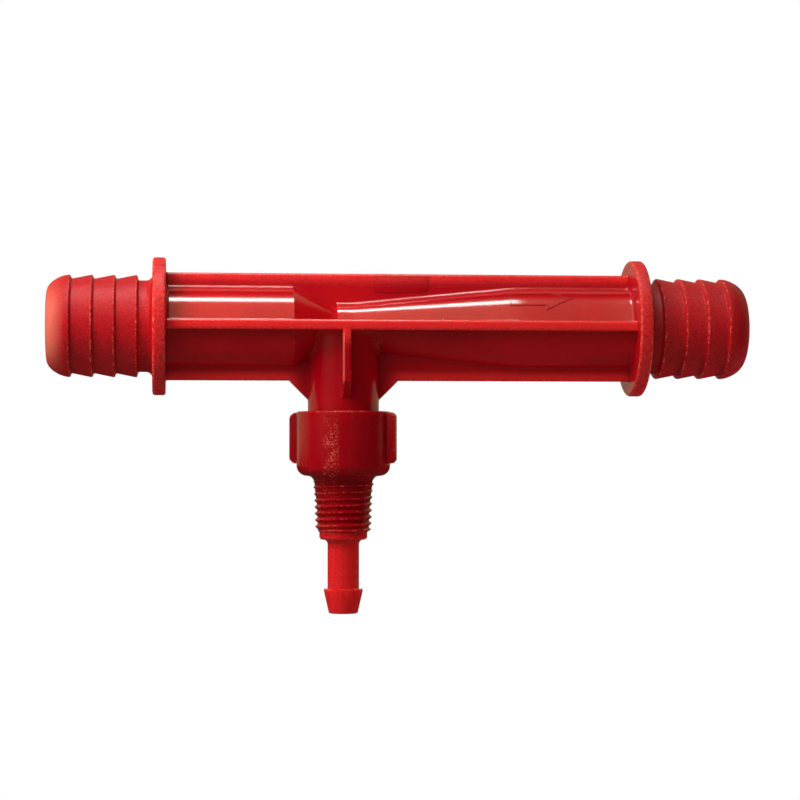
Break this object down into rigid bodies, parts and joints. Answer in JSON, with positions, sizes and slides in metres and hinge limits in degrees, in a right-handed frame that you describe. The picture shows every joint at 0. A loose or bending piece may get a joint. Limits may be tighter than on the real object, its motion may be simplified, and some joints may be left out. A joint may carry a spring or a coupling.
{
  "type": "venturi fertilizer injector",
  "caption": "In-line venturi injector with a ribbed tube, round flanges, hose barbs at both ends and a wing-capped suction port with pipe thread, small barb and ball check.",
  "frame": {"origin": "on the flow axis, at the inlet barb's crest next to the flange", "axes": "+X along the flow from inlet to outlet, -Z along the suction port, away from the tube"},
  "size_m": [0.1533, 0.03, 0.0776],
  "materials": {
    "moulding": "semi-gloss red injection moulding",
    "ball": "smooth off-white polymer",
    "spring": "bright drawn wire",
    "seal": "matte black rubber"
  },
  "bodies": {
    "injector": {"injector_body": "moulding", "suction_cap": "moulding", "check_spring": "spring", "cap_o_ring": "seal"},
    "ball": {"check_ball": "ball"}
  },
  "joints": [
    {"name": "ball_lift", "type": "slide", "parent": "injector", "child": "ball", "axis": [0, 0, 1], "range_m": [0, 0.003], "stiffness_N_per_m": 40, "deforming": ["check_spring"]}
  ]
}
